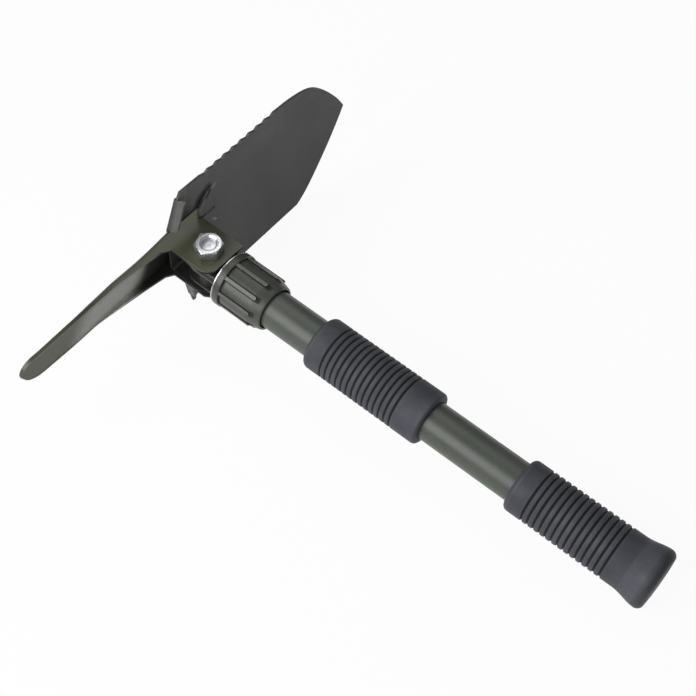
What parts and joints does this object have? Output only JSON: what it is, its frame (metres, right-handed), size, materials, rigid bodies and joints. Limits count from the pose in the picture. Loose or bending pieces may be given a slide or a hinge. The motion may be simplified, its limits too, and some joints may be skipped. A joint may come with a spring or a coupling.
{
  "type": "camp shovel",
  "caption": "Small folding camp shovel with a pointed saw-edged blade and a channelled pick on one bolt, a screwed lock collar and a straight tube handle with ribbed grips.",
  "frame": {"origin": "centre of the butt face at the end of the handle", "axes": "+X along the handle towards the head, +Z along the pivot bolt towards its nut, the pick points to +Y and the blade to -Y at rest"},
  "size_m": [0.2892, 0.2343, 0.0918],
  "materials": {
    "blade_paint": "satin",
    "pick_paint": "satin",
    "zinc_bolt": "satin",
    "zinc_nut": "bright",
    "plain_steel": "satin",
    "fork_paint": "satin",
    "ring_steel": "bright",
    "collar_paint": "satin",
    "tube_paint": "satin",
    "grip_rubber": "matte"
  },
  "bodies": {
    "handle": {"end_grip": "grip_rubber", "middle_grip": "grip_rubber", "handle_tube": "tube_paint", "pivot_fork": "fork_paint", "fork_pins": "plain_steel", "spacer_sleeve": "plain_steel", "pivot_bolt": "zinc_bolt", "pivot_nut": "zinc_nut"},
    "pick": {"pick": "pick_paint"},
    "blade": {"blade": "blade_paint"},
    "ring": {"collar_ring": "ring_steel"},
    "collar": {"lock_collar": "collar_paint"}
  },
  "joints": [
    {"name": "pick_swing", "type": "hinge", "parent": "handle", "child": "pick", "pos_m": [0.266, 0, 0], "axis": [0, 0, 1], "range_deg": [0, 90]},
    {"name": "blade_fold", "type": "hinge", "parent": "pick", "child": "blade", "pos_m": [0.266, 0, 0], "axis": [0, 0, -1], "range_deg": [0, 90]},
    {"name": "collar_travel", "type": "slide", "parent": "handle", "child": "ring", "axis": [-1, 0, 0], "range_m": [0, 0.004]},
    {"name": "collar_spin", "type": "hinge", "parent": "ring", "child": "collar", "pos_m": [0.24, 0, 0], "axis": [-1, 0, 0], "range_deg": [0, 720]}
  ],
  "couplings": [
    {"joint": "collar_spin", "follows": "collar_travel", "rad_per_m": 3141.6}
  ]
}
